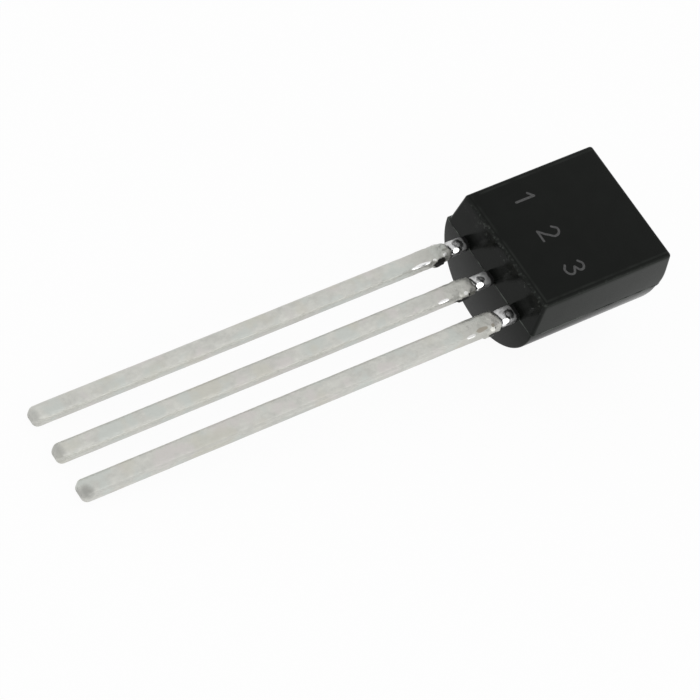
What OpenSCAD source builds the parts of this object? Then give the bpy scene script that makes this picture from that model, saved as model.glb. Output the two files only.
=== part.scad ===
// A small transistor in a moulded plastic case with a flat front, a round back and three leads.
// It lies flat side up, on the round back of the case and on the tips of its leads.
// The pieces are drawn in the case's own axes: x runs across the leads, y from the flat front
// into the case, and z up the case. The leads run towards -z and their middle plane is y = 0.

/* [Case] */
// Width of the case, where the two mould halves meet
case_w = 4.33; // [4.2:0.01:5]
// Height of the case, where the two mould halves meet
case_h = 4.7; // [4.3:0.01:5.4]
// Depth of the front half, from the middle of the leads to the flat
front_d = 1.27; // [1.1:0.01:1.6]
// How much the radius of the round back exceeds half the width of the case
back_extra = 0.01; // [0:0.01:0.2]
// Draft angle of the front half's sides and ends
front_draft = 5; // [2:0.5:9]
// Draft angle of the back half's ends
back_draft = 4; // [1:0.5:7]
// Rounding of the front half's edges
edge_r = 0.1; // [0.04:0.01:0.2]
// How far the back half sits to the side of the front half
mould_shift = 0.06; // [0:0.01:0.12]

/* [Leads] */
// Distance between neighbouring leads
pitch = 1.27; // [1.2:0.01:1.35]
// Length of a lead outside the case
lead_len = 14.4; // [8:0.1:20]
// Width of the tinned emitter and base leads
lead_w = 0.54; // [0.44:0.01:0.6]
// Width of the tinned collector lead
collector_w = 0.62; // [0.44:0.01:0.66]
// Thickness of a tinned lead
lead_t = 0.48; // [0.4:0.01:0.52]
// Rounding along the edges of a tinned lead
lead_r = 0.18; // [0.06:0.01:0.19]
// Thickness of the tin on each side of a lead
tin_t = 0.055; // [0.01:0.005:0.06]
// Length of bare lead between the case and the tin
neck_len = 0.65; // [0.3:0.05:0.8]
// Length over which the tin swells to its full thickness
swell_len = 0.08; // [0.04:0.01:0.15]
// Length over which the tin rounds off at the tip of a lead
tip_len = 0.14; // [0.04:0.01:0.16]
// Distance from the case to the sheared stubs of the tie bar
stub_z = 0.9; // [0.85:0.01:1.2]
// Length of a tie bar stub along its lead
stub_len = 0.33; // [0.2:0.01:0.6]
// How far a tie bar stub stands out of the side of its lead
stub_out = 0.045; // [0.02:0.005:0.1]

/* [Lead frame inside the case] */
// Width of the die pad
pad_w = 1.9; // [1.6:0.05:2]
// Height of the die pad
pad_h = 1.6; // [1.4:0.05:1.8]
// How far the die pad reaches past the collector lead
pad_over = 0.2; // [0.1:0.05:0.3]
// Diameter of the mould lock hole in the die pad
lock_d = 0.5; // [0.3:0.05:0.6]
// Gap between neighbouring pieces of the lead frame
frame_gap = 0.25; // [0.18:0.01:0.3]
// Height of the top of the base post above the lead end
base_top = 1.5; // [1.3:0.05:1.6]
// Width of the head of the base post
base_head_w = 0.84; // [0.7:0.02:0.9]
// Height of the head of the base post
base_head_h = 0.5; // [0.35:0.05:0.6]
// Height of the head of the emitter post
emitter_head_h = 1.15; // [0.9:0.05:1.4]
// How far the emitter head reaches past its lead on the outside
emitter_over = 0.28; // [0.15:0.01:0.32]
// How far below its inner edge a head's outer shoulder starts
shoulder_drop = 0.25; // [0.1:0.05:0.4]
// Diameter of the mould lock notch in the side of the emitter head
notch_d = 0.36; // [0.2:0.02:0.5]

/* [Die and bonds] */
// Side of the square die
die_w = 0.46; // [0.35:0.01:0.6]
// Thickness of the die
die_t = 0.2; // [0.15:0.01:0.25]
// Thickness of the bond layer under the die
attach_t = 0.03; // [0.02:0.005:0.04]
// How far the bond layer spreads past the die on each side
attach_over = 0.05; // [0.02:0.01:0.08]
// Distance from the corner of the die pad to the middle of the die, each way
die_inset = 0.5; // [0.42:0.01:0.6]
// Distance from the middle of the die to each bond
bond_off = 0.11; // [0.08:0.01:0.14]
// Diameter of a bond wire
wire_d = 0.03; // [0.025:0.005:0.04]
// Height of a bond wire's loop above the die
loop_h = 0.2; // [0.16:0.01:0.26]
// Radius of the bend above the die
bend_r = 0.08; // [0.06:0.01:0.1]
// Diameter of the ball that joins a wire to the die
ball_d = 0.09; // [0.06:0.01:0.12]
// Diameter of the stitch that joins a wire to its post
stitch_d = 0.1; // [0.06:0.01:0.14]
// Height of a ball and of a stitch
ball_h = 0.025; // [0.015:0.005:0.03]
// Distance from the emitter head's inner edge to its stitch
stitch_in = 0.2; // [0.12:0.01:0.3]
// Height of the emitter's stitch above the bottom of its head
stitch_up = 0.7; // [0.4:0.05:0.8]

/* [Hidden] */

$fn = 64;
// Number of steps in each rounded corner of a lead's section
CORNER_STEPS = 5;
// Facets of the balls that round the front half's edges
BALL_FN = 32;
// Angles round a lead's tip at which its section is drawn
TIP_ANGLES = [0, 30, 60, 90];
// Thickness of the slices that a hull joins
SLICE = 0.01;
// Smallest rounding along the edges of a lead's inner section
LEAST_R = 0.01;
// How far a cutting shape reaches past what it cuts
PAST = 1;

// Radius of the round back
back_r = case_w / 2 + back_extra;
// How far the back half's ends lean in from the parting plane to the back
back_lean = back_r * tan(back_draft);

// The bare metal under the tin
frame_t = lead_t - 2 * tin_t;
blade_w = lead_w - 2 * tin_t;
collector_blade_w = collector_w - 2 * tin_t;
frame_front = frame_t / 2;

// Outline of the die pad
pad_right = pitch + collector_blade_w / 2 + pad_over;
pad_left = pad_right - pad_w;
pad_bottom = base_top + frame_gap;
pad_top = pad_bottom + pad_h;
lock_x = pad_left + pad_w / 2;
lock_z = pad_top - lock_d;

// Outline of the emitter head, beside the die pad and above the base head
emitter_left = -pitch - blade_w / 2 - emitter_over;
emitter_right = pad_left - frame_gap;
emitter_bottom = base_top + frame_gap;
emitter_top = emitter_bottom + emitter_head_h;

// Centre of the die, and heights above the lead plane
die_x = pad_left + die_inset;
die_z = pad_bottom + die_inset;
attach_top = frame_front + attach_t;
die_top = attach_top + die_t;

// Where each wire leaves the die and where it lands on its post, as x and z
emitter_from = [die_x - bond_off, die_z + bond_off];
emitter_to = [emitter_right - stitch_in, emitter_bottom + stitch_up];
base_from = [die_x - bond_off, die_z - bond_off];
base_to = [0, base_top - base_head_h / 2];

// The part rests on the back half's lower edge and on the tips of the leads
tip_z = -lead_len + tip_len;
rest_tilt = atan((back_r - lead_t / 2) / (back_lean - tip_z));
rest_lift = back_r * cos(rest_tilt) - back_lean * sin(rest_tilt);
tip_half_t = lead_t / 2 - tip_len;
far_x = max(case_h * cos(rest_tilt), (case_h - back_lean) * cos(rest_tilt) + back_r * sin(rest_tilt));
near_x = -lead_len * cos(rest_tilt) - tip_half_t * sin(rest_tilt);
mid_x = (far_x + near_x) / 2;
right_x = max(case_w / 2, back_r - mould_shift);
left_x = -back_r - mould_shift;
mid_y = -(left_x + right_x) / 2;

// Turns a piece from the case's own axes to lie flat side up, centred over the origin
module as_it_lies() {
    translate([-mid_x, -mid_y, rest_lift])
        rotate([0, -rest_tilt, 0])
            rotate([-90, 0, 0])
                rotate([0, 90, 0])
                    children();
}

// Points of a w by t rectangle with its corners rounded to r
function rounded_box(w, t, r) = [
    for (corner = [0:3], step = [0:CORNER_STEPS])
        let (sx = (corner == 0 || corner == 3) ? 1 : -1)
        let (sy = corner < 2 ? 1 : -1)
        let (a = corner * 90 + step * 90 / CORNER_STEPS)
        [sx * (w / 2 - r) + r * cos(a), sy * (t / 2 - r) + r * sin(a)]
];

// A flat piece of the lead frame, from its outline in x and z
module frame_plate(outline) {
    translate([0, frame_t / 2, 0])
        rotate([90, 0, 0])
            linear_extrude(height = frame_t)
                polygon(outline);
}

// A rounded corner of the front half, from a disc at the parting plane to a ball under the flat
module front_corner(side, end) {
    inset = (front_d - edge_r) * tan(front_draft) + edge_r / cos(front_draft);
    translate([side * (case_w / 2 - edge_r), 0, end > 0 ? case_h - edge_r : edge_r])
        rotate([90, 0, 0])
            cylinder(r = edge_r, h = SLICE, $fn = BALL_FN);
    translate([side * (case_w / 2 - inset), edge_r - front_d, end > 0 ? case_h - inset : inset])
        rotate([90, 0, 0])
            sphere(r = edge_r, $fn = BALL_FN);
}

// The drafted half with the flat, from the parting plane forwards
module front_half() {
    hull()
        for (side = [-1, 1], end = [-1, 1])
            front_corner(side, end);
}

// The round half, cut by ends that lean in towards the back
module back_half() {
    reach = back_r + PAST;
    lean = reach * tan(back_draft);
    translate([-mould_shift, 0, 0])
        intersection() {
            cylinder(r = back_r, h = case_h);
            translate([-reach, 0, 0])
                rotate([90, 0, 90])
                    linear_extrude(height = 2 * reach)
                        polygon([[0, 0], [reach, lean], [reach, case_h - lean], [0, case_h]]);
        }
}

// The tinned section, drawn in by an inset on every side
module tip_section(w, inset) {
    polygon(rounded_box(w - 2 * inset, lead_t - 2 * inset, max(lead_r - inset, LEAST_R)));
}

// The tinned length of a lead outside the case, with its swelling, stubs and rounded tip
module tinned_length(w) {
    section = rounded_box(w, lead_t, lead_r);
    bare = rounded_box(w - 2 * tin_t, frame_t, max(lead_r - tin_t, LEAST_R));
    full_z = -neck_len - swell_len;
    translate([0, 0, tip_z])
        linear_extrude(height = full_z - tip_z)
            polygon(section);
    hull() {
        translate([0, 0, full_z - SLICE])
            linear_extrude(height = SLICE)
                polygon(section);
        translate([0, 0, -neck_len - SLICE])
            linear_extrude(height = SLICE)
                polygon(bare);
    }
    hull()
        for (a = TIP_ANGLES)
            translate([0, 0, tip_z - tip_len * sin(a)])
                linear_extrude(height = SLICE)
                    tip_section(w, tip_len * (1 - cos(a)));
    translate([-w / 2 - stub_out, -frame_t / 2, -stub_z - stub_len])
        cube([w + 2 * stub_out, frame_t, stub_len]);
}

// The emitter's bare metal, from its head inside the case to where the tin begins
module emitter_frame() {
    left = -pitch - blade_w / 2;
    right = -pitch + blade_w / 2;
    difference() {
        frame_plate([[left, -neck_len - swell_len], [right, -neck_len - swell_len],
                     [right, emitter_bottom], [emitter_right, emitter_bottom],
                     [emitter_right, emitter_top], [emitter_left, emitter_top],
                     [emitter_left, emitter_bottom - shoulder_drop],
                     [left, emitter_bottom - shoulder_drop - emitter_over]]);
        translate([emitter_left, 0, (emitter_bottom + emitter_top) / 2])
            rotate([90, 0, 0])
                cylinder(d = notch_d, h = frame_t + PAST, center = true);
    }
}

// The base's bare metal, with a head that keys it into the case
module base_frame() {
    head = base_head_w / 2;
    neck = base_top - base_head_h;
    frame_plate([[-blade_w / 2, -neck_len - swell_len], [blade_w / 2, -neck_len - swell_len],
                 [blade_w / 2, neck], [head, neck], [head, base_top],
                 [-head, base_top], [-head, neck], [-blade_w / 2, neck]]);
}

// The collector's bare metal, with the pad that carries the die
module collector_frame() {
    left = pitch - collector_blade_w / 2;
    right = pitch + collector_blade_w / 2;
    difference() {
        frame_plate([[left, -neck_len - swell_len], [right, -neck_len - swell_len],
                     [right, pad_bottom - shoulder_drop - pad_over], [pad_right, pad_bottom - shoulder_drop],
                     [pad_right, pad_top], [pad_left, pad_top],
                     [pad_left, pad_bottom], [left, pad_bottom]]);
        translate([lock_x, 0, lock_z])
            rotate([90, 0, 0])
                cylinder(d = lock_d, h = frame_t + PAST, center = true);
    }
}

module die_attach_form() {
    side = die_w + 2 * attach_over;
    translate([die_x - side / 2, -attach_top, die_z - side / 2])
        cube([side, attach_t, side]);
}

module die_form() {
    translate([die_x - die_w / 2, -die_top, die_z - die_w / 2])
        cube([die_w, die_t, die_w]);
}

// A wire from a ball on the die, up, over and down to a stitch on its post
module bond_wire(from, to) {
    span = norm(to - from);
    top = die_top + loop_h;
    fall_r = top - frame_front - ball_h;
    translate([from[0], 0, from[1]])
        rotate([90, 0, 0])
            rotate([0, 0, atan2(to[1] - from[1], to[0] - from[0])]) {
                translate([0, 0, die_top])
                    cylinder(d = ball_d, h = ball_h);
                translate([0, 0, die_top + ball_h / 2])
                    cylinder(d = wire_d, h = top - bend_r - die_top - ball_h / 2);
                translate([bend_r, 0, top - bend_r])
                    rotate([90, 0, 0])
                        rotate([0, 0, 90])
                            rotate_extrude(angle = 90)
                                translate([bend_r, 0])
                                    circle(d = wire_d);
                translate([bend_r, 0, top])
                    rotate([0, 90, 0])
                        cylinder(d = wire_d, h = span - bend_r - fall_r);
                translate([span - fall_r, 0, top - fall_r])
                    rotate([90, 0, 0])
                        rotate_extrude(angle = 90)
                            translate([fall_r, 0])
                                circle(d = wire_d);
                translate([span, 0, frame_front])
                    cylinder(d = stitch_d, h = ball_h);
            }
}

// The plastic case, moulded round everything inside it
module body() {
    color([0.13, 0.14, 0.14])
        as_it_lies()
            difference() {
                union() {
                    front_half();
                    back_half();
                }
                emitter_frame();
                base_frame();
                collector_frame();
                die_attach_form();
                die_form();
                bond_wire(emitter_from, emitter_to);
                bond_wire(base_from, base_to);
            }
}

module emitter_lead() {
    color([0.76, 0.76, 0.74])
        as_it_lies() {
            emitter_frame();
            translate([-pitch, 0, 0])
                tinned_length(lead_w);
        }
}

module base_lead() {
    color([0.76, 0.76, 0.74])
        as_it_lies() {
            base_frame();
            tinned_length(lead_w);
        }
}

module collector_lead() {
    color([0.76, 0.76, 0.74])
        as_it_lies() {
            collector_frame();
            translate([pitch, 0, 0])
                tinned_length(collector_w);
        }
}

module die_attach() {
    color([0.62, 0.62, 0.6])
        as_it_lies()
            die_attach_form();
}

module die() {
    color([0.3, 0.32, 0.36])
        as_it_lies()
            die_form();
}

module emitter_wire() {
    color([0.86, 0.68, 0.3])
        as_it_lies()
            bond_wire(emitter_from, emitter_to);
}

module base_wire() {
    color([0.86, 0.68, 0.3])
        as_it_lies()
            bond_wire(base_from, base_to);
}

body();
emitter_lead();
base_lead();
collector_lead();
die_attach();
die();
emitter_wire();
base_wire();
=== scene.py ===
import math
import bpy
import bmesh
from mathutils import Matrix, Vector, noise


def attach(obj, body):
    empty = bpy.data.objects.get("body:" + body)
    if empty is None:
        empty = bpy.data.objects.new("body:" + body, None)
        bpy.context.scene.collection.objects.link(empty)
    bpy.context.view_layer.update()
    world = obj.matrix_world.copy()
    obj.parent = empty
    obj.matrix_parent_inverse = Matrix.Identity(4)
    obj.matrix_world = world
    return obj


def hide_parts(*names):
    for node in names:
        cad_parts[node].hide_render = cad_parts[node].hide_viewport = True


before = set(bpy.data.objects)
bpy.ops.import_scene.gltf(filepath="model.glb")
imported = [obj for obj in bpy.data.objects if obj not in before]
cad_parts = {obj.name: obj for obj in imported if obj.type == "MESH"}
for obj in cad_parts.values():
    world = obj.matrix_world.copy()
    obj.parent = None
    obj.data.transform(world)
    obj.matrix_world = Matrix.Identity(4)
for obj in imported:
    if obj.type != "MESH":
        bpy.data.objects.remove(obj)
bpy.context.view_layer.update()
print("frame loaded")

# Pieces are made in the case's own axes, in millimetres: x across the leads,
# y from the flat into the case, z up the case, with the leads towards -z
case = {
    "width": 4.33, "height": 4.7, "frontDepth": 1.27,
    "backExtra": 0.01,                          # the back's radius is half the width and this
    "frontDraft": 5.0, "backDraft": 4.0,        # degrees
    "edgeRound": 0.1, "backEdgeRound": 0.05,
    "farRound": 0.3, "backFarRound": 0.25,      # the far corners, where the mould halves meet
    "farPower": 6,                              # a higher power keeps their growth nearer to there
    "mouldShift": 0.06,                         # how far the back half sits to the -x side
    "flashOut": 0.012, "flashThick": 0.045,     # the fin where the mould halves meet
    "flashRagged": 3.5, "flashCover": 0.35,     # how fine its notches are, and how much stands out
    "edgeSteps": 6, "backEdgeSteps": 3, "backSteps": 160, "frontRings": 12, "flashRings": 90,
}
case["backRadius"] = case["width"] / 2 + case["backExtra"]
lead = {
    "length": 14.4, "pitch": 1.27, "thick": 0.48, "round": 0.18,
    "tin": 0.055, "neck": 0.65, "swell": 0.08,
    "slant": 0.12, "wander": 0.08,              # how the start of the tin slants and wanders
    "waist": 0.03,                              # how far the neck draws in at both ends
    "lip": 0.02, "lipLength": 0.4,              # the tin is thinner where it begins
    "lumps": 0.007, "nearLumps": 0.022,         # the tin's lumps, and what is added near the case
    "neckLumps": 0.012, "knots": 0.012,
    "octaves": ((1, 0.6), (2.7, 0.3), (6, 0.12)),     # scales and shares of the lumps
    "tip": 0.14, "tipRound": 0.19,              # the tip it rests on, and the rounder one seen
    "stubStart": 0.9, "stubLength": 0.33, "stubOut": 0.045,
    "stubHidden": 0.012,                        # the stub on the -x side is nearly covered
    "stubHalf": (0.14, 0.22),                   # half its width, at the top and at the foot
    "stubTorn": 0.02,                           # how ragged its ends are, and how soft
    "insideCase": 0.3,                          # how far the new length runs into the case
    "innerFrom": 0.05,                          # where the node's own form goes on from it
    "dropFacing": (0.6, -0.75, -0.28),          # the way the drop of solder on each neck faces
    "runFacing": (0.72, -0.69, 0),              # the way the smooth run of tin below it faces
    "downCorner": (0.6, 0.8, 0),                # the way down over the lower corner
    "flatCore": 0.65,                           # the share of a drop or run that is quite flat
    "roundSteps": 8, "rings": 200, "faceCuts": 0.035,
}
leadWidths = {"emitter_lead": 0.54, "base_lead": 0.54, "collector_lead": 0.62}
leadPlaces = {"emitter_lead": -lead["pitch"], "base_lead": 0.0, "collector_lead": lead["pitch"]}

# What differs from lead to lead. A place is how far round the lead, growing from its front over
# the lower corner to its side, and where along it; the oval's is straight across and along. A size
# is half the width and half the length. "oval" is the bright spot on the neck, and "ovalSpot" how
# strong the dark spot in it is. "creaseShadeFrom" is where across the lead the painted shade in the
# crease at the start of the tin begins. "tip" is a soft darker patch at the tip: place, size and
# strength.
# The painted line of light and shade along a corner, lighter or darker by its grey, has a shift and
# a grey. "drop" has its place along, its size and how far down the corner it lies, "run" the
# same two and its strength, and a stain its place, size and colour
leadMarks = {
    "emitter_lead": {
        "oval": (0.03, -0.36), "ovalSize": (0.19, 0.19), "ovalSpot": 0.3, "creaseShadeFrom": -0.06,
        "tip": ((0.0, -14.38), (0.3, 0.2), 0.5),
        "lowerCornerShading": (0, 0.8), "upperCornerShading": (0, 0.66),
        "drop": (-0.5, (0.1, 0.15), 0.0), "run": (-1.72, (0.05, 0.32), 1.0),
        "stains": [((0.21, -1.06), (0.14, 0.2), (0.01, 0.009, 0.008)),
                   ((0.02, -0.9), (0.05, 0.06), (0.95, 0.95, 0.93)),
                   ((0.06, -1.27), (0.04, 0.05), (0.95, 0.95, 0.93)),
                   ((-0.1, -0.83), (0.03, 0.1), (0.3, 0.3, 0.27))],
    },
    "base_lead": {
        "oval": (0.03, -0.4), "ovalSize": (0.12, 0.13), "ovalSpot": 0.1, "creaseShadeFrom": -0.5,
        "tip": ((-0.07, -14.34), (0.34, 0.2), 0.6),
        "lowerCornerShading": (0, 0.82), "upperCornerShading": (0, 0.76),
        "drop": (-0.505, (0.115, 0.18), 0.02), "run": (-1.8, (0.045, 0.18), 0.9),
        "stains": [((0.28, -1.05), (0.09, 0.32), (0.01, 0.01, 0.009)),
                   ((0.2, -0.8), (0.09, 0.12), (0.17, 0.17, 0.15)),
                   ((0.16, -0.95), (0.05, 0.03), (0.03, 0.03, 0.027)),
                   ((0.08, -1.05), (0.05, 0.07), (0.9, 0.9, 0.88))],
    },
    "collector_lead": {
        "oval": (0.06, -0.3), "ovalSize": (0.17, 0.17), "ovalSpot": 0.3, "creaseShadeFrom": -0.5,
        "tip": ((0.0, -14.27), (0.22, 0.22), 0.95),
        "lowerCornerShading": (-0.036, 0.52), "upperCornerShading": (0, 0.76),
        "drop": (-0.49, (0.105, 0.15), 0.015), "run": (-1.72, (0.04, 0.16), 0.6),
        "stains": [((0.03, -1.33), (0.06, 0.2), (0.36, 0.33, 0.28)),
                   ((0.3, -0.95), (0.05, 0.16), (0.02, 0.02, 0.018)),
                   ((0.12, -0.98), (0.07, 0.1), (0.85, 0.85, 0.8)),
                   ((0.03, -0.95), (0.05, 0.06), (0.3, 0.28, 0.24))],
    },
}


def placeOnTable():
    # flat side up, on the back half's lower edge and on the tips of the leads
    backLean = case["backRadius"] * math.tan(math.radians(case["backDraft"]))
    halfThick = lead["thick"] / 2
    tilt = math.atan((case["backRadius"] - halfThick) / (backLean + lead["length"] - lead["tip"]))
    c, s = math.cos(tilt), math.sin(tilt)
    turn = Matrix(((0, s, c), (-1, 0, 0), (0, -c, s)))
    lift = case["backRadius"] * c - backLean * s
    far = (case["height"] - backLean) * c + case["backRadius"] * s
    far = max(far, case["height"] * c)
    near = -lead["length"] * c - (halfThick - lead["tip"]) * s
    right = max(case["width"] / 2, case["backRadius"] - case["mouldShift"])
    left = -case["backRadius"] - case["mouldShift"]
    offset = Vector((-(far + near) / 2, (left + right) / 2, lift))
    return Matrix.Translation(offset / 1000) @ (turn.to_4x4() @ Matrix.Scale(0.001, 4))


table = placeOnTable()


def addObject(name, data):
    made = bpy.data.objects.new(name, data)
    bpy.context.scene.collection.objects.link(made)
    return made


def finishMesh(bm, name, material, stands=None, pressed=Matrix()):
    bmesh.ops.recalc_face_normals(bm, faces=bm.faces)
    bm.transform(table @ pressed)               # pressed only now, or the normals could turn inwards
    mesh = bpy.data.meshes.new(name)
    bm.to_mesh(mesh)
    bm.free()
    mesh.materials.append(material)
    mesh.shade_smooth()
    mesh.set_sharp_from_angle(angle=math.radians(30))
    piece = addObject(name, mesh)
    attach(piece, "root")
    if stands:
        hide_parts(stands)
    return piece


def addBox(bm, size, middle=(0, 0, 0)):
    place = Matrix.Translation(middle) @ Matrix.Diagonal((*size, 1))
    return bmesh.ops.create_cube(bm, size=1, matrix=place)["verts"]


def edgesAlong(bm, axis, least):  # the edges that reach further than this along x, y or z
    return [e for e in bm.edges if abs(e.verts[0].co[axis] - e.verts[1].co[axis]) > least]


def roundEdges(bm, edges, offset, steps):
    bmesh.ops.bevel(bm, geom=edges, offset=offset, offset_type="OFFSET",
                    segments=steps, profile=0.5, affect="EDGES", material=-1)


def cutAway(bm, point, outward, near=1e-6):  # returns the edges round the opening that is left
    cut = bmesh.ops.bisect_plane(bm, geom=bm.verts[:] + bm.edges[:] + bm.faces[:], dist=near,
                                 plane_co=point, plane_no=outward, clear_outer=True)
    return [g for g in cut["geom_cut"] if isinstance(g, bmesh.types.BMEdge)]


def joinInto(bm, other):
    spare = bpy.data.meshes.new("spare")
    other.to_mesh(spare)
    other.free()
    bm.from_mesh(spare)
    bpy.data.meshes.remove(spare)


class Sum:  # a socket's value, for maths written as expressions
    def __init__(self, finish, socket):
        self.finish, self.socket = finish, socket

    def maths(self, operation, *values):
        return self.finish.node("Math", {"operation": operation}, dict(enumerate(values)))

    def __add__(self, other):
        return self.maths("ADD", self, other)

    def __radd__(self, other):
        return self.maths("ADD", other, self)

    def __sub__(self, other):
        return self.maths("SUBTRACT", self, other)

    def __rsub__(self, other):
        return self.maths("SUBTRACT", other, self)

    def __mul__(self, other):
        return self.maths("MULTIPLY", self, other)

    def __rmul__(self, other):
        return self.maths("MULTIPLY", other, self)

    def __truediv__(self, other):
        return self.maths("DIVIDE", self, other)

    def __neg__(self):
        return self.maths("MULTIPLY", self, -1.0)

    def size(self):
        return self.maths("ABSOLUTE", self)

    def least(self, other):
        return self.maths("MINIMUM", self, other)

    def most(self, other):
        return self.maths("MAXIMUM", self, other)

    def step(self, low, high):  # 0 at low and 1 at high, smooth in between
        return self.finish.node("MapRange", {"interpolation_type": "SMOOTHSTEP"},
                                {"Value": self, "From Min": low, "From Max": high}, "Result")


class Finish:  # one material and the nodes that make it
    def __init__(self, name, **constants):
        self.material = bpy.data.materials.new(name)
        self.material.use_nodes = True
        self.tree = self.material.node_tree
        self.shader = self.tree.nodes["Principled BSDF"]
        for socket, value in constants.items():
            self.shader.inputs[socket.replace("_", " ")].default_value = value

    def node(self, kind, settings=None, inputs=None, out=0):
        made = self.tree.nodes.new("ShaderNode" + kind)
        for key, value in (settings or {}).items():
            setattr(made, key, value)
        for key, value in (inputs or {}).items():
            self.feed(made.inputs[key], value)
        return Sum(self, made.outputs[out])

    def feed(self, socket, value):
        if isinstance(value, Sum):
            self.tree.links.new(value.socket, socket)
        else:
            socket.default_value = value

    def shade(self, **values):
        for socket, value in values.items():
            self.feed(self.shader.inputs[socket.replace("_", " ")], value)

    def caseAxes(self):  # Object coordinates turned into the case's own axes, in millimetres
        back = table.inverted()
        here = self.node("TexCoord", out="Object")
        return self.node("Mapping", {"vector_type": "POINT"},
                         {"Vector": here, "Location": back.to_translation(),
                          "Rotation": back.to_3x3().normalized().to_euler(), "Scale": (1000,) * 3})

    def split(self, vector):
        made = self.node("SeparateXYZ", inputs={"Vector": vector})
        return [Sum(self, output) for output in made.socket.node.outputs]

    def mottle(self, vector, scale, detail=3.0, roughness=0.5, stretch=(1, 1, 1)):
        if stretch != (1, 1, 1):
            vector = self.node("VectorMath", {"operation": "MULTIPLY"}, {0: vector, 1: stretch})
        return self.node("TexNoise", inputs={"Vector": vector, "Scale": scale, "Detail": detail,
                                             "Roughness": roughness}, out="Fac")

    def blend(self, factor, low, high):
        made = self.node("Mix", {"data_type": "RGBA"})
        mix = made.socket.node
        self.feed(mix.inputs[0], factor)
        self.feed(mix.inputs[6], low)
        self.feed(mix.inputs[7], high)
        return Sum(self, mix.outputs[2])

    def cover(self, base, layers):  # each layer is how much it covers, and its colour
        for amount, colour in layers:
            base = self.blend(amount, base, colour)
        return base

    def bump(self, height, distance, strength=1.0, under=None):
        inputs = {"Height": height, "Distance": distance, "Strength": strength}
        if under is not None:
            inputs["Normal"] = under
        return self.node("Bump", inputs=inputs, out="Normal")


def grey(level, tint=(1, 1, 1)):
    return (*(level * part for part in tint), 1)


caseLook = {
    "deep": 0.0035, "cloudy": 0.007, "filler": 0.02,         # greys of the epoxy and what shows in it
    # the parting line grey is a painted glint, as light catching the flash
    # the side grey is a painted sheen: the side wall is coloured lighter where it mirrors the pale floor
    # the worn grey is real wear plus a painted highlight line along the flat's edge; the chip grey is
    # chips plus painted glints near the rim
    "side": 0.019, "wornEdgeAndSheen": 0.03, "chipAndGlint": 0.05, "partingLineGlint": 0.09,
    "tint": (0.9, 1, 0.9), "shine": 0.06,
    "skin": 0.09, "skinRough": 0.15,                         # the front half's gloss from the mould
    "flatRough": 0.4, "endRough": 0.13, "backRough": 0.2,
    "lineHalf": (0.034, 0.018),                              # the soft edge of the parting line
}


def mouldedEpoxy():
    tint = caseLook["tint"]
    look = Finish("mouldedEpoxy", Specular_IOR_Level=caseLook["shine"], Specular_Tint=(*tint, 1),
                  Coat_Roughness=caseLook["skinRough"])
    here = look.caseAxes()
    x, y, z = look.split(here)
    grain = look.mottle(here, 26, 4, 0.6)
    cloud = look.mottle(here, 1.6, 3)
    specks = look.mottle(here, 55, 2, 0.5).step(0.68, 0.76)
    patches = look.mottle(here, 9, 4, 0.7).step(0.5, 0.72)
    # the flat, and how far in a point lies from the drafted walls
    onFlat = (-y).step(case["frontDepth"] - 0.06, case["frontDepth"] - 0.01)
    nearFlat = (-y).step(case["frontDepth"] - 0.14, case["frontDepth"] - 0.02)
    drafted = y.least(0.0) * math.tan(math.radians(case["frontDraft"]))
    sideWall = case["width"] / 2 + drafted - x.size()
    endWall = z + drafted
    toWall = endWall.least(sideWall)
    # wear along the flat's edges and on the lead end, with a painted highlight line along the flat's
    # rounded edge and painted glints in the chips near the rim, and the parting line with a painted
    # glint
    rim = toWall.step(0.09, 0.02) * nearFlat
    rimHighlightLine = toWall.step(0.09, 0.12) * toWall.step(0.19, 0.15) * onFlat * cloud.step(0.3, 0.6)
    wornEdgeAndSheen = rim * (0.25 + patches * 0.75)
    chipBand = endWall.step(0.45, 0.05) * (-y).step(0.75, 1.1) * (1 - onFlat)
    chipsAndGlints = look.mottle(here, 7, 3, 0.6).step(0.58, 0.66) * chipBand
    edgeChipsAndGlints = rim * patches * endWall.step(0.2, 0.1)
    # painted sheen: the side wall below the flat is coloured lighter
    sideWallSheen = sideWall.step(0.1, 0.02) * endWall.step(0.0, 0.1) * (1 - onFlat)
    # painted glint: the parting line is coloured lighter
    partingLineGlint = y.size().step(*caseLook["lineHalf"]) * look.mottle(here, 2.2, 3).step(0.4, 0.6)
    base = look.blend(cloud, grey(caseLook["deep"], tint), grey(caseLook["cloudy"], tint))
    base = look.cover(base, [(specks * 0.4, grey(caseLook["filler"], tint)),
                             (sideWallSheen * (0.6 + cloud * 0.8), grey(caseLook["side"], tint)),
                             (wornEdgeAndSheen.most(rimHighlightLine * 0.4), grey(caseLook["wornEdgeAndSheen"], tint)),
                             ((chipsAndGlints * 0.7).most(edgeChipsAndGlints), grey(caseLook["chipAndGlint"], tint)),
                             (partingLineGlint, grey(caseLook["partingLineGlint"], tint))])
    rough = caseLook["endRough"] + onFlat * (caseLook["flatRough"] - caseLook["endRough"])
    rough = rough + y.step(0.0, 0.1) * (caseLook["backRough"] - caseLook["endRough"])
    rough = rough + (grain - 0.5) * 0.1 + wornEdgeAndSheen * 0.2 + partingLineGlint * 0.3
    fine = look.bump(grain, 0.000003, 0.6)
    wavy = look.bump(look.mottle(here, 1.1, 2), 0.00001, 0.5, fine)
    look.shade(Base_Color=base, Roughness=rough, Normal=wavy,
               Coat_Weight=caseLook["skin"] * y.step(0.01, -0.01))
    return look.material


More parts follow.
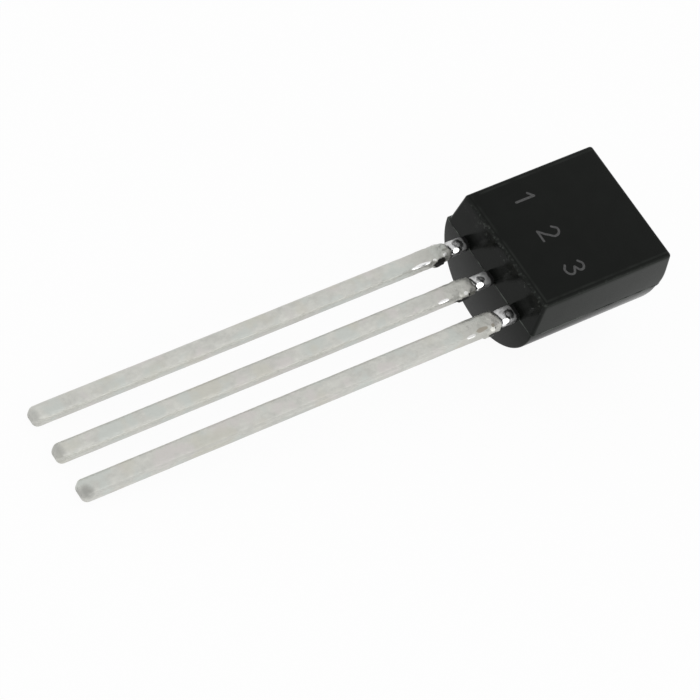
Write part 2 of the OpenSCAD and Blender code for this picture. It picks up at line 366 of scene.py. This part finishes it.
leadLook = {
    "tin": 0.64, "bare": 0.66, "bright": 0.95,               # greys of the metal
    # the seam grey is painted shade in the crease where the tin begins
    # the side grey is a painted reflection of the case on the neck's side
    "dust": 0.35, "tipDarker": 0.36, "side": 0.4, "seam": 0.02,
    "tint": (1, 1, 0.94), "greyTint": (0.96, 1, 0.95), "pinkTint": (1, 0.96, 0.93),
    "yellowTint": (1, 0.98, 0.87), "dullTint": (1, 1, 0.92),
    "tinRough": 0.46, "bareRough": 0.42, "stainRough": 0.6,
    "ovalRough": 0.14, "dropRough": 0.1, "runRough": 0.12,
    "bareMetal": 0.35, "shine": 0.2,
    "root": 0.12,                                            # length next to the case that is coloured dark
    "spotShare": 0.45,                                       # size of the spot in the bright oval
    "overCorner": (0.8, 0.6),                                # shares of x and y
    "neckCorner": (lead["tin"] + 0.05, 0.07),                # in from the side, and from the front
    "tinCorner": (0.05, 0.11),
    "strip": (-0.0103, 0.0197, 0.0547, 0.0947),              # the painted line of light and shade along a corner fades in and out here
    "stripStrength": 0.6,
}


class LeadFinish(Finish):  # the metal of one lead, with the masks that its colours share
    def __init__(self, node):
        super().__init__(node.replace("_lead", "Tin"), Specular_IOR_Level=leadLook["shine"])
        self.width, self.marks = leadWidths[node], leadMarks[node]
        self.here = self.caseAxes()
        x, self.y, self.z = self.split(self.here)
        self.x = x - leadPlaces[node]
        across, back = leadLook["overCorner"]
        self.overLower = self.x * across + self.y * back     # how far round the lead, over a corner
        self.overUpper = self.y * back - self.x * across
        self.blur = self.mottle(self.here, 9, 3, 0.6) - 0.5  # shifts the edges of the masks
        self.fine = self.mottle(self.here, 24, 3, 0.6) - 0.5
        self.cloud = self.mottle(self.here, 2.6, 4, 0.6, (1, 1, 0.5)).step(0.3, 0.7)
        self.lumpy = self.mottle(self.here, 7.5, 3, 0.6, (1, 1, 0.7)).step(0.3, 0.7)
        self.streaks = self.mottle(self.here, 14, 3, 0.55, (1, 1, 0.06))
        self.maskNeck()
        near = self.z.step(-2.6, -1.0)                       # duller tin near the case
        self.near = near * (1 - self.bare)
        self.sparkle = self.near * self.mottle(self.here, 9, 2).step(0.7, 0.76)

    def patch(self, across, place, size, ragged, core=0.75):  # 1 inside an uneven oval and 0 outside
        u, v = (across - place[0]) / size[0], (self.z - place[1]) / size[1]
        return (u * u + v * v + (self.blur + self.fine * 0.5) * ragged).step(1.25, core)

    def besideCorner(self, inwards, forwards):               # a spot's place, measured round the lead
        return (self.width / 2 - inwards) * leadLook["overCorner"][0] - forwards

    def maskNeck(self):
        marks, neck, root = self.marks, lead["neck"], leadLook["root"]
        self.bare = (self.z + self.blur * 0.08).step(-neck - lead["swell"] * 0.6, -neck + 0.03)
        self.root = (self.z + self.blur * 0.06).step(-root - 0.02, -root + 0.02)
        spotSize = [size * leadLook["spotShare"] for size in marks["ovalSize"]]
        spot = self.patch(self.x, marks["oval"], spotSize, 1.6)
        oval = self.patch(self.x, marks["oval"], marks["ovalSize"], 1.6) * (-self.y).step(0.02, 0.1)
        self.oval = oval * (1 - spot * marks["ovalSpot"])
        corner = self.besideCorner(*leadLook["neckCorner"])
        self.side = self.overLower.step(corner + 0.03, corner + 0.09)    # mirrors the case, and its grey is darkened there as a painted reflection
        place, size, down = marks["drop"]
        dropSize = (size[0] * 0.95, size[1] * 0.95)
        self.drop = self.patch(self.overLower, (corner + down, place), dropSize, 0.1)
        corner = self.besideCorner(*leadLook["tinCorner"])
        place, size, strength = marks["run"]
        runSize = (size[0] * 1.1, size[1])
        self.run = self.patch(self.overLower, (corner, place), runSize, 0.8) * strength
        slanted = self.z + neck - 0.02 - self.x * (lead["slant"] / self.width)
        seam = (slanted + self.blur * 0.09).size().step(0.04, 0.015)     # painted shade in the crease where the tin begins
        across = self.x.step(marks["creaseShadeFrom"] - 0.05, marks["creaseShadeFrom"] + 0.05)
        self.seam = seam * across * (1 - self.drop)

    def cornerShadingLine(self, across, shift):                     # painted light and shade: a line along the corner where the lead turns
        start = self.besideCorner(lead["round"], 0) + shift
        low, lowFull, highFull, high = [start + place for place in leadLook["strip"]]
        return across.step(low, lowFull) * across.step(high, highFull) * leadLook["stripStrength"]

    def tinColour(self):
        tin, tint = leadLook["tin"], leadLook["tint"]
        tone = self.mottle(self.here, 1.4, 2)
        yellowed = self.mottle(self.here, 0.9, 3).step(0.52, 0.66)
        dust = self.mottle(self.here, 60, 2).step(0.66, 0.76)
        base = self.blend(self.cloud * 0.6 + self.lumpy * 0.4,
                          grey(tin * 0.87, tint), grey(tin * 1.12, tint))
        layers = [(tone.step(0.5, 0.65) * 0.8, grey(tin, leadLook["greyTint"])),
                  (tone.step(0.45, 0.3) * 0.8, grey(tin * 1.04, leadLook["pinkTint"])),
                  (yellowed * 0.6, grey(tin * 0.97, leadLook["yellowTint"])),
                  (dust * 0.3, grey(leadLook["dust"], tint))]
        for across, corner in ((self.overLower, "lowerCornerShading"), (self.overUpper, "upperCornerShading")):
            shift, level = self.marks[corner]
            layers.append((self.cornerShadingLine(across, shift), grey(level, tint)))
        # a soft darker patch at the tip
        place, size, strength = self.marks["tip"]
        tip = self.patch(self.overLower, place, size, 0.5, -0.3) * strength
        dull = self.near * (0.3 + self.lumpy * 0.4)
        layers += [(tip, grey(leadLook["tipDarker"], tint)),
                   (dull, grey(tin * 0.72, leadLook["dullTint"])),
                   (self.sparkle, grey(leadLook["bright"]))]
        return self.cover(base, layers)

    def neckColour(self):
        bare, z = leadLook["bare"], self.z
        base = self.blend(self.lumpy, grey(bare * 0.45), grey(bare * 1.1))
        # painted shade: the neck darkens towards the case, and turns lighter further down
        lighter = z.step(-0.42, -0.52) * (0.35 + self.lumpy * 0.65)
        return self.cover(base, [(z.step(-0.4, -0.12) * 0.8, grey(bare * 0.25)),
                                 (lighter, grey(bare * 1.2)),
                                 (self.side, grey(leadLook["side"]))])

    def roughness(self):
        rough = leadLook["tinRough"] + (self.cloud - 0.5) * 0.12 + (self.streaks - 0.5) * 0.15
        rough = rough - self.sparkle * 0.2
        bareRough = leadLook["bareRough"] + self.fine * 0.25
        for amount, level in ((self.bare, bareRough), (self.oval * 0.85, leadLook["ovalRough"]),
                              (self.drop, leadLook["dropRough"]), (self.run, leadLook["runRough"])):
            rough = rough + amount * (level - rough)
        return rough


def tinnedMetal(node):
    look = LeadFinish(node)
    base = look.blend(look.bare, look.tinColour(), look.neckColour())
    base = look.cover(base, [(look.drop.most(look.run), grey(leadLook["bright"])),
                             (look.root, grey(caseLook["cloudy"] * 1.7)),
                             (look.seam, grey(leadLook["seam"]))])
    shiny = look.oval.most(look.drop).most(look.side)
    metal = 1 - look.bare * (1 - shiny) * (1 - leadLook["bareMetal"])
    metal = metal * (1 - look.root.most(look.seam))
    rough = look.roughness()
    for place, size, colour in look.marks["stains"]:
        stain = look.patch(look.overLower, place, size, 1.4) * (1 - look.bare)
        base = look.blend(stain, base, (*colour, 1))
        if max(colour) < 0.5:                                # light stains stay metal
            metal = metal * (1 - stain * 0.9)
            rough = rough + stain * (leadLook["stainRough"] - rough)
    smooth = look.drop.most(look.run)
    bumpy = look.bump(look.lumpy + look.streaks * 0.5 + look.fine, 0.000012,
                      (1 - smooth) * (0.6 - look.oval * 0.3))
    look.shade(Base_Color=base, Roughness=rough, Metallic=metal, Normal=bumpy)
    return look.material


def roundFarCorners(bm):
    # the front half's far corners grow rounder towards the parting plane
    hair = 0.004
    lean = math.tan(math.radians(case["frontDraft"]))
    for v in bm.verts:
        wall = v.co.y * lean - case["edgeRound"]
        middle = Vector((case["width"] / 2 + wall, case["height"] + wall))
        arc = Vector((abs(v.co.x), v.co.z)) - middle
        if min(arc) > -hair:
            share = (1 + v.co.y / case["frontDepth"]) ** case["farPower"]
            grown = (case["farRound"] - case["edgeRound"]) * share
            moved = middle - Vector((grown, grown)) + arc.normalized() * (arc.length + grown)
            v.co.x, v.co.z = math.copysign(moved.x, v.co.x), moved.y


def frontHalf(bm):
    size = (case["width"], case["frontDepth"], case["height"])
    made = addBox(bm, size, (0, -case["frontDepth"] / 2, case["height"] / 2))
    lean = case["frontDepth"] * math.tan(math.radians(case["frontDraft"]))
    onFlat = [v for v in made if v.co.y < -case["frontDepth"] / 2]
    for v in onFlat:
        v.co.x -= math.copysign(lean, v.co.x)
        v.co.z += lean if v.co.z < case["height"] / 2 else -lean
    edges = [e for e in bm.edges if not all(abs(v.co.y) < 1e-6 for v in e.verts)]
    roundEdges(bm, edges, case["edgeRound"], case["edgeSteps"])
    bmesh.ops.subdivide_edges(bm, edges=edgesAlong(bm, 1, 1), cuts=case["frontRings"],
                              use_grid_fill=True)
    roundFarCorners(bm)


def backHalf():
    bm = bmesh.new()
    bmesh.ops.create_cone(bm, cap_ends=True, segments=case["backSteps"], depth=case["height"],
                          radius1=case["backRadius"], radius2=case["backRadius"])
    bmesh.ops.translate(bm, vec=(0, 0, case["height"] / 2), verts=bm.verts)
    draft = math.radians(case["backDraft"])
    for point, outward in (((0, 0, 0), (0, -1, 0)),
                           ((0, 0, 0), (0, math.sin(draft), -math.cos(draft))),
                           ((0, 0, case["height"]), (0, math.sin(draft), math.cos(draft)))):
        bmesh.ops.edgeloop_fill(bm, edges=cutAway(bm, point, outward))
    bmesh.ops.recalc_face_normals(bm, faces=bm.faces)
    curved = [e for e in bm.edges if len(e.link_faces) == 2 and e.calc_face_angle() > 1.0
              and any(v.co.y > 1e-4 for v in e.verts)]
    far = [e for e in curved if e.verts[0].co.z > case["height"] / 2]
    near = [e for e in curved if e.verts[0].co.z < case["height"] / 2]
    roundEdges(bm, far, case["backFarRound"], case["edgeSteps"])
    roundEdges(bm, near, case["backEdgeRound"], case["backEdgeSteps"])
    bmesh.ops.translate(bm, vec=(-case["mouldShift"], 0, 0), verts=bm.verts)
    return bm


def mouldFlash():
    bm = bmesh.new()
    middle = Vector((0, 0, case["height"] / 2))
    addBox(bm, (case["width"], case["flashThick"], case["height"]), middle)
    corners = edgesAlong(bm, 1, case["flashThick"] / 2)
    far = [e for e in corners if e.verts[0].co.z > case["height"] / 2]
    near = [e for e in corners if e.verts[0].co.z < case["height"] / 2]
    roundEdges(bm, far, case["farRound"], case["edgeSteps"])
    roundEdges(bm, near, case["edgeRound"], case["edgeSteps"])
    along = [e for e in bm.edges if e.calc_length() > 1]
    bmesh.ops.subdivide_edges(bm, edges=along, cuts=case["flashRings"], use_grid_fill=True)
    for v in bm.verts:
        notch = noise.noise(Vector((v.co.x, 0, v.co.z)) * case["flashRagged"]) + case["flashCover"]
        out = (v.co - middle) * Vector((1, 0, 1))
        v.co += out.normalized() * case["flashOut"] * min(max(notch, 0), 1)
    return bm


def mouldedCase(material):
    bm = bmesh.new()
    frontHalf(bm)
    joinInto(bm, backHalf())
    joinInto(bm, mouldFlash())
    piece = finishMesh(bm, "moulded_case", material, "body")
    print("case made,", len(piece.data.polygons), "faces")


def smoothStep(low, high, value):
    t = min(max((value - low) / (high - low), 0), 1)
    return t * t * (3 - 2 * t)


# Rings along a lead: the share of them used by the end of each stretch, and where it ends
ringStretches = ((0, lead["insideCase"]), (0.02, 0.08), (0.5, -1.7), (0.66, -4.0),
                 (0.94, lead["tipRound"] - lead["length"]), (1, -lead["length"]))


def ringPlace(share):
    for (low, start), (high, end) in zip(ringStretches, ringStretches[1:]):
        if share <= high:
            t = (share - low) / (high - low)
            if high == 1:
                t = math.sin(t * math.pi / 2)                # closer together as the tip turns in
            return start + (end - start) * t
    return -lead["length"]


def leadBlank(width):
    bm = bmesh.new()
    addBox(bm, (width, lead["thick"], 1))
    roundEdges(bm, edgesAlong(bm, 2, 0.5), lead["round"], lead["roundSteps"])
    for normal in ((1, 0, 0), (0, 1, 0)):
        for k in (-1, 0, 1):
            everything = bm.verts[:] + bm.edges[:] + bm.faces[:]
            bmesh.ops.bisect_plane(bm, geom=everything, dist=1e-6, plane_no=normal,
                                   plane_co=Vector(normal) * lead["faceCuts"] * k)
    bmesh.ops.subdivide_edges(bm, edges=edgesAlong(bm, 2, 0.5), cuts=lead["rings"],
                              use_grid_fill=True)
    for v in bm.verts:
        v.co.z = ringPlace(min(max(0.5 - v.co.z, 0), 1))
    return bm


def coatMove(width, x, y, z, seed):
    # how far a point of the blank moves out along its section's normal
    here = Vector((x * 3, y * 3, z * 1.3 + seed))
    lumps = sum(noise.noise(here * scale) * share for scale, share in lead["octaves"])
    nearCase = smoothStep(-3.5, -0.8, z)
    wander = noise.noise(Vector((x * 5, y * 5, seed))) * lead["wander"]
    start = wander + lead["slant"] * x / width - lead["neck"]        # where the tin begins
    coated = 1 - smoothStep(start - lead["swell"], start + 0.01, z)
    along = min(max(z / start, 0), 1)                        # 0 at the case, 1 where the tin starts
    waist = -lead["waist"] * abs(2 * along - 1) ** 4
    bare = (1 - coated) * (waist - lead["tin"] + lumps * lead["neckLumps"])
    knots = noise.noise(here * 4) * lead["knots"] * nearCase
    tinned = coated * (lumps * (lead["lumps"] + lead["nearLumps"] * nearCase) + knots)
    lip = -lead["lip"] * smoothStep(start - lead["lipLength"], start, z)
    turned = max(0, 1 - (z + lead["length"]) / lead["tipRound"])
    return bare + tinned + lip * coated - lead["tipRound"] * (1 - math.sqrt(1 - turned * turned))


def flatten(bm, place, size, down, facing):
    # a nearly flat spot on a lead's lower corner, as a drop or a run of solder leaves
    face = Vector(facing).normalized()
    near = [v for v in bm.verts if abs(v.co.z - place) < size[1] and v.co.x > 0 and v.co.y < 0]
    level = [v for v in near if abs(v.co.z - place) < 0.03]
    furthest = max(level, key=lambda v: v.co.x * face.x + v.co.y * face.y)
    middle = furthest.co + Vector(lead["downCorner"]) * down
    depth = size[0] * size[0]                                # deeper where the spot is wider
    for v in near:
        away = v.co - middle
        height = away.dot(face)
        flat = away - face * height
        along = flat.z / size[1]
        across = math.hypot(flat.x, flat.y) / size[0]
        share = 1 - smoothStep(lead["flatCore"], 1, math.hypot(along, across))
        v.co -= face * ((height + depth) * share)


def stubMove(width, x, y, z, seed):
    # how far the sheared stub of the tie bar stands out of the lead's side, along x
    soft = lead["stubTorn"]
    torn = soft * noise.noise(Vector((y * 12, z * 9, seed)))
    top = -lead["stubStart"] + torn
    end = top - lead["stubLength"]
    along = smoothStep(top + soft, top - soft, z) * smoothStep(end - soft, end + soft, z)
    across = 1 - smoothStep(*lead["stubHalf"], abs(y))
    side = smoothStep(width / 2 - 0.16, width / 2 - 0.02, abs(x))
    reach = lead["stubOut"] if x > 0 else lead["stubHidden"]
    return math.copysign((reach + torn * 0.5) * along * across * side, x)


def dressLead(bm, width, seed):
    core = Vector((width / 2 - lead["round"], lead["thick"] / 2 - lead["round"]))
    moves = []
    for v in bm.verts:
        x, y, z = v.co
        nearest = Vector((min(max(x, -core.x), core.x), min(max(y, -core.y), core.y), z))
        out = (v.co - nearest).normalized()
        if out.length > 0.5:
            shift = Vector((stubMove(width, x, y, z, seed), 0, 0))
            moves.append((v, out * coatMove(width, x, y, z, seed) + shift))
    for v, move in moves:
        v.co += move


def insideForm(node):
    # the node's own form inside the case, cut off where the new length has already begun
    bm = bmesh.new()
    bm.from_mesh(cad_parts[node].data)
    bm.transform(table.inverted())
    bmesh.ops.remove_doubles(bm, verts=bm.verts, dist=1e-4)
    rim = cutAway(bm, (0, 0, lead["innerFrom"]), (0, 0, -1), 1e-5)
    bmesh.ops.holes_fill(bm, edges=rim)
    return bm


def tinnedLead(node, seed):
    width, marks = leadWidths[node], leadMarks[node]
    bm = leadBlank(width)
    dressLead(bm, width, seed)
    dropPlace, dropSize, dropDown = marks["drop"]
    flatten(bm, dropPlace, dropSize, dropDown, lead["dropFacing"])
    flatten(bm, *marks["run"][:2], 0, lead["runFacing"])
    bmesh.ops.translate(bm, vec=(leadPlaces[node], 0, 0), verts=bm.verts)
    joinInto(bm, insideForm(node))
    piece = finishMesh(bm, node.replace("_lead", "_tinned_lead"), tinnedMetal(node), node)
    print("lead made,", len(piece.data.polygons), "faces")


# Each digit as strokes of the laser, on a square one digit high; a bent stroke is smoothed
digits = {
    "height": 0.62, "stroke": 0.075, "raise": 0.004, "rowFromLeadEnd": 1.35,
    "dark": 0.045, "light": 0.085,
    "1": [[(-0.2, 0.78), (0.04, 1)], [(0.04, 1), (0.04, 0)]],
    "2": [[(-0.26, 0.78), (-0.02, 1), (0.25, 0.74), (0.06, 0.38), (-0.28, 0)],
          [(-0.28, 0), (0.28, 0)]],
    "3": [[(-0.25, 0.86), (0, 1), (0.23, 0.77), (-0.04, 0.54)],
          [(-0.04, 0.54), (0.27, 0.27), (0, 0), (-0.27, 0.14)]],
}


def onRow(place, x, z):  # a digit's point, above the lead at this place
    return (place + x * digits["height"], 0, digits["rowFromLeadEnd"] + z * digits["height"])


def strokeMesh(points, place):
    curve = bpy.data.curves.new("stroke", "CURVE")
    curve.bevel_depth, curve.bevel_resolution, curve.resolution_u = digits["stroke"] / 2, 3, 8
    curve.dimensions, curve.use_fill_caps = "3D", True
    spline = curve.splines.new("BEZIER")
    spline.bezier_points.add(len(points) - 1)
    for point, (x, z) in zip(spline.bezier_points, points):
        point.co = onRow(place, x, z)
        point.handle_left_type = point.handle_right_type = "AUTO" if len(points) > 2 else "VECTOR"
    shape = addObject("stroke", curve)
    bpy.context.view_layer.update()
    final = shape.evaluated_get(bpy.context.evaluated_depsgraph_get())
    mesh = bpy.data.meshes.new_from_object(final)
    bpy.data.objects.remove(shape)
    return mesh


def pinNumbers(material):
    bm = bmesh.new()
    radius = digits["stroke"] / 2
    for digit, place in zip("123", leadPlaces.values()):
        for points in digits[digit]:
            mesh = strokeMesh(points, place)
            stroke = bmesh.new()
            stroke.from_mesh(mesh)
            bpy.data.meshes.remove(mesh)
            bmesh.ops.remove_doubles(stroke, verts=stroke.verts, dist=1e-4)  # joins caps and tube
            joinInto(bm, stroke)
        for x, z in sorted({points[k] for points in digits[digit] for k in (0, -1)}):
            ends = bmesh.ops.create_uvsphere(bm, u_segments=12, v_segments=6, radius=radius)["verts"]
            bmesh.ops.translate(bm, vec=onRow(place, x, z), verts=ends)
    # pressed nearly flat on the case
    pressed = Matrix.Translation((0, -case["frontDepth"], 0))
    pressed = pressed @ Matrix.Diagonal((1, digits["raise"] / radius, 1, 1))
    finishMesh(bm, "pin_numbers", material, pressed=pressed)
    print("pin numbers made")


def laserGrey():
    look = Finish("laserGrey", Specular_IOR_Level=0.3)
    here = look.caseAxes()
    grain = look.mottle(here, 30, 3, 0.6)
    shade = look.blend(grain.step(0.35, 0.65), grey(digits["dark"]), grey(digits["light"]))
    look.shade(Base_Color=shade, Roughness=0.6 + grain * 0.2, Normal=look.bump(grain, 0.000005, 0.6))
    return look.material


innerLook = {
    "polishedSilicon": {"low": (0.2, 0.22, 0.27, 1), "high": (0.32, 0.34, 0.38, 1), "scale": 9,
                        "metal": 0.6, "nodes": ["die"]},
    "silverBond": {"low": (0.5, 0.5, 0.48, 1), "high": (0.68, 0.68, 0.66, 1), "scale": 20,
                   "metal": 0.9, "nodes": ["die_attach"]},
    "goldWire": {"low": (0.83, 0.6, 0.22, 1), "high": (0.9, 0.7, 0.32, 1), "scale": 30,
                 "metal": 1.0, "nodes": ["emitter_wire", "base_wire"]},
}


def innerMaterial(name):
    wanted = innerLook[name]
    look = Finish(name, Metallic=wanted["metal"])
    patches = look.mottle(look.caseAxes(), wanted["scale"], 4, 0.6)
    look.shade(Base_Color=look.blend(patches, wanted["low"], wanted["high"]),
               Roughness=0.25 + patches * 0.3, Normal=look.bump(patches, 0.000002, 0.4))
    return look.material


mouldedCase(mouldedEpoxy())
for number, node in enumerate(leadWidths):
    tinnedLead(node, number * 7.3)              # the second is the lead's place in the noise
pinNumbers(laserGrey())

for name in innerLook:
    material = innerMaterial(name)
    for node in innerLook[name]["nodes"]:
        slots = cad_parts[node].data.materials
        slots.clear()
        slots.append(material)
print("inner pieces finished")

# The camera, in the case's own axes in millimetres, as solved from the photograph
camera = {"turn": (0.758998, 0.788698, 0.67869),    # radians
          "move": (3.890816, -2.01178, 130.19982),
          "focal": 4669.57, "image": 700,       # pixels
          "sensor": 36, "near": 0.001, "far": 2}


def placeCamera():
    axis = Vector(camera["turn"])
    turn = Matrix.Rotation(axis.length, 3, axis.normalized())
    position = -(turn.transposed() @ Vector(camera["move"]))
    toWorld = table.to_3x3().normalized()
    columns = [toWorld @ turn[0], -(toWorld @ turn[1]), -(toWorld @ turn[2])]
    data = bpy.data.cameras.new("photoCamera")
    eye = addObject("photoCamera", data)
    eye.matrix_world = Matrix.Translation(table @ position) @ Matrix(columns).transposed().to_4x4()
    data.sensor_fit, data.sensor_width = "HORIZONTAL", camera["sensor"]
    data.lens = camera["sensor"] * camera["focal"] / camera["image"]
    data.clip_start, data.clip_end = camera["near"], camera["far"]
    bpy.context.scene.camera = eye


placeCamera()
print("camera placed")

light = {
    "world": 0.88, "backdrop": 1,                            # the room's light, and its own look
    "floor": 0.85, "floorSeen": 0.94, "floorMirrored": 0.9,  # its grey, and its glow if seen or mirrored
    "floorHalf": 0.6,
    "side": 0.16, "sideSize": 0.12, "sidePlace": (-0.07, -0.39, 0.31),   # watts and metres
    "low": 0.07, "lowSize": 0.14, "lowPlace": (0.23, -0.43, 0.1),
}


def paleFloor():
    bm = bmesh.new()
    bmesh.ops.create_grid(bm, x_segments=1, y_segments=1, size=light["floorHalf"])
    mesh = bpy.data.meshes.new("paleFloor")
    bm.to_mesh(mesh)
    bm.free()
    look = Finish("paleFloor")
    tree = look.tree
    diffuse = tree.nodes.new("ShaderNodeBsdfDiffuse")
    diffuse.inputs["Color"].default_value = grey(light["floor"])
    glow = tree.nodes.new("ShaderNodeEmission")
    glow.inputs["Color"].default_value = grey(1)
    path = tree.nodes.new("ShaderNodeLightPath")
    seen = Sum(look, path.outputs["Is Camera Ray"]) * light["floorSeen"]
    mirrored = Sum(look, path.outputs["Is Glossy Ray"]) * light["floorMirrored"]
    mix = tree.nodes.new("ShaderNodeMixShader")
    look.feed(mix.inputs[0], seen.most(mirrored))
    tree.links.new(diffuse.outputs[0], mix.inputs[1])
    tree.links.new(glow.outputs[0], mix.inputs[2])
    tree.links.new(mix.outputs[0], tree.nodes["Material Output"].inputs["Surface"])
    mesh.materials.append(look.material)
    addObject("paleFloor", mesh)


def softLight():
    world = bpy.data.worlds.new("softRoom")
    bpy.context.scene.world = world
    world.use_nodes = True
    tree = world.node_tree
    background = tree.nodes["Background"]
    path = tree.nodes.new("ShaderNodeLightPath")
    mix = tree.nodes.new("ShaderNodeMix")
    mix.data_type = "RGBA"
    tree.links.new(path.outputs["Is Camera Ray"], mix.inputs[0])
    mix.inputs[6].default_value = grey(light["world"])
    mix.inputs[7].default_value = grey(light["backdrop"])
    tree.links.new(mix.outputs[2], background.inputs["Color"])
    for name in ("side", "low"):
        data = bpy.data.lights.new(name, "AREA")
        data.shape, data.size, data.energy = "DISK", light[name + "Size"], light[name]
        lamp = addObject(name, data)
        lamp.location = light[name + "Place"]
        lamp.rotation_euler = (-lamp.location).to_track_quat("-Z", "Y").to_euler()


paleFloor()
softLight()
bpy.context.scene.view_settings.view_transform = "Standard"
print("floor and light placed")
